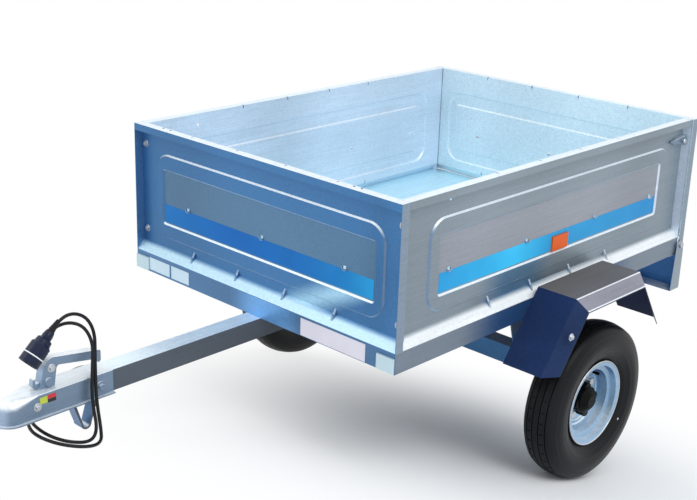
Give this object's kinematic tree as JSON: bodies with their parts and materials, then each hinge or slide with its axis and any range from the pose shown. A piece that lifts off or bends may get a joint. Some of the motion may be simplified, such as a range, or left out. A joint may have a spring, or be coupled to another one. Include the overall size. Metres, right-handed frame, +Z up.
{
  "type": "single axle box trailer",
  "caption": "Small car trailer: folded sheet box with a drop tailgate on a channel frame, single drawbar with ball coupling and light cable, parked nose down on its skid.",
  "frame": {"origin": "on the ground under the middle of the parked trailer's length and width, its light cable and plug left out", "axes": "+X towards the coupling, +Y to the trailer's left, +Z up; the trailer is pitched nose down about +Y as it parks"},
  "size_m": [1.914, 1.204, 0.9895],
  "materials": {
    "galvanised_sheet": "folded galvanised steel sheet",
    "galvanised_frame": "galvanised rolled steel",
    "zinc_pressing": "bright zinc plated pressing",
    "dark_steel": "black painted steel",
    "tyre_rubber": "matt rubber",
    "rim_silver": "silver painted steel",
    "black_plastic": "moulded",
    "cable_rubber": "smooth rubber sheath",
    "amber_plastic": "clear moulded reflector",
    "white_plastic": "clear moulded reflector",
    "lamp_plastic": "moulded lens"
  },
  "bodies": {
    "trailer": {"front_panel": "galvanised_sheet", "floor_panel": "galvanised_sheet", "side_rail_left": "galvanised_frame", "side_rail_right": "galvanised_frame", "front_rail": "galvanised_frame", "rear_rail": "galvanised_frame", "middle_rail": "galvanised_frame", "drawbar": "galvanised_frame", "coupling_body": "zinc_pressing", "drawbar_skid": "galvanised_frame", "coupling_lever": "zinc_pressing", "axle_beam": "galvanised_frame", "axle_hanger_left": "galvanised_frame", "swing_arm_left": "galvanised_frame", "axle_hanger_right": "galvanised_frame", "swing_arm_right": "galvanised_frame", "light_panel": "galvanised_sheet", "rear_lamp_left": "lamp_plastic", "rear_lamp_right": "lamp_plastic", "tailgate_pivot_left": "zinc_pressing", "tailgate_pivot_right": "zinc_pressing", "cable_gland": "black_plastic", "side_panel_left": "galvanised_sheet", "mudguard_left": "galvanised_sheet", "tailgate_catch_left": "zinc_pressing", "front_reflector_left": "white_plastic", "side_reflector_left": "amber_plastic", "side_panel_right": "galvanised_sheet", "mudguard_right": "galvanised_sheet", "tailgate_catch_right": "zinc_pressing", "front_reflector_right": "white_plastic", "side_reflector_right": "amber_plastic", "light_cable": "cable_rubber", "cable_plug": "black_plastic"},
    "wheel_left": {"tyre_left": "tyre_rubber", "rim_left": "rim_silver", "hub_left": "dark_steel", "hub_cap_left": "black_plastic"},
    "wheel_right": {"tyre_right": "tyre_rubber", "rim_right": "rim_silver", "hub_right": "dark_steel", "hub_cap_right": "black_plastic"},
    "tailgate": {"tailgate_panel": "galvanised_sheet"}
  },
  "joints": [
    {"name": "wheel_left_spin", "type": "hinge", "parent": "trailer", "child": "wheel_left", "pos_m": [-0.42428, 0.532, 0.2115], "axis": [0, 1, 0], "continuous": true},
    {"name": "wheel_right_spin", "type": "hinge", "parent": "trailer", "child": "wheel_right", "pos_m": [-0.42428, -0.532, 0.2115], "axis": [0, 1, 0], "continuous": true},
    {"name": "tailgate_hinge", "type": "hinge", "parent": "trailer", "child": "tailgate", "pos_m": [-0.86816, 0, 0.63417], "axis": [0, -1, 0], "range_deg": [0, 90]}
  ]
}
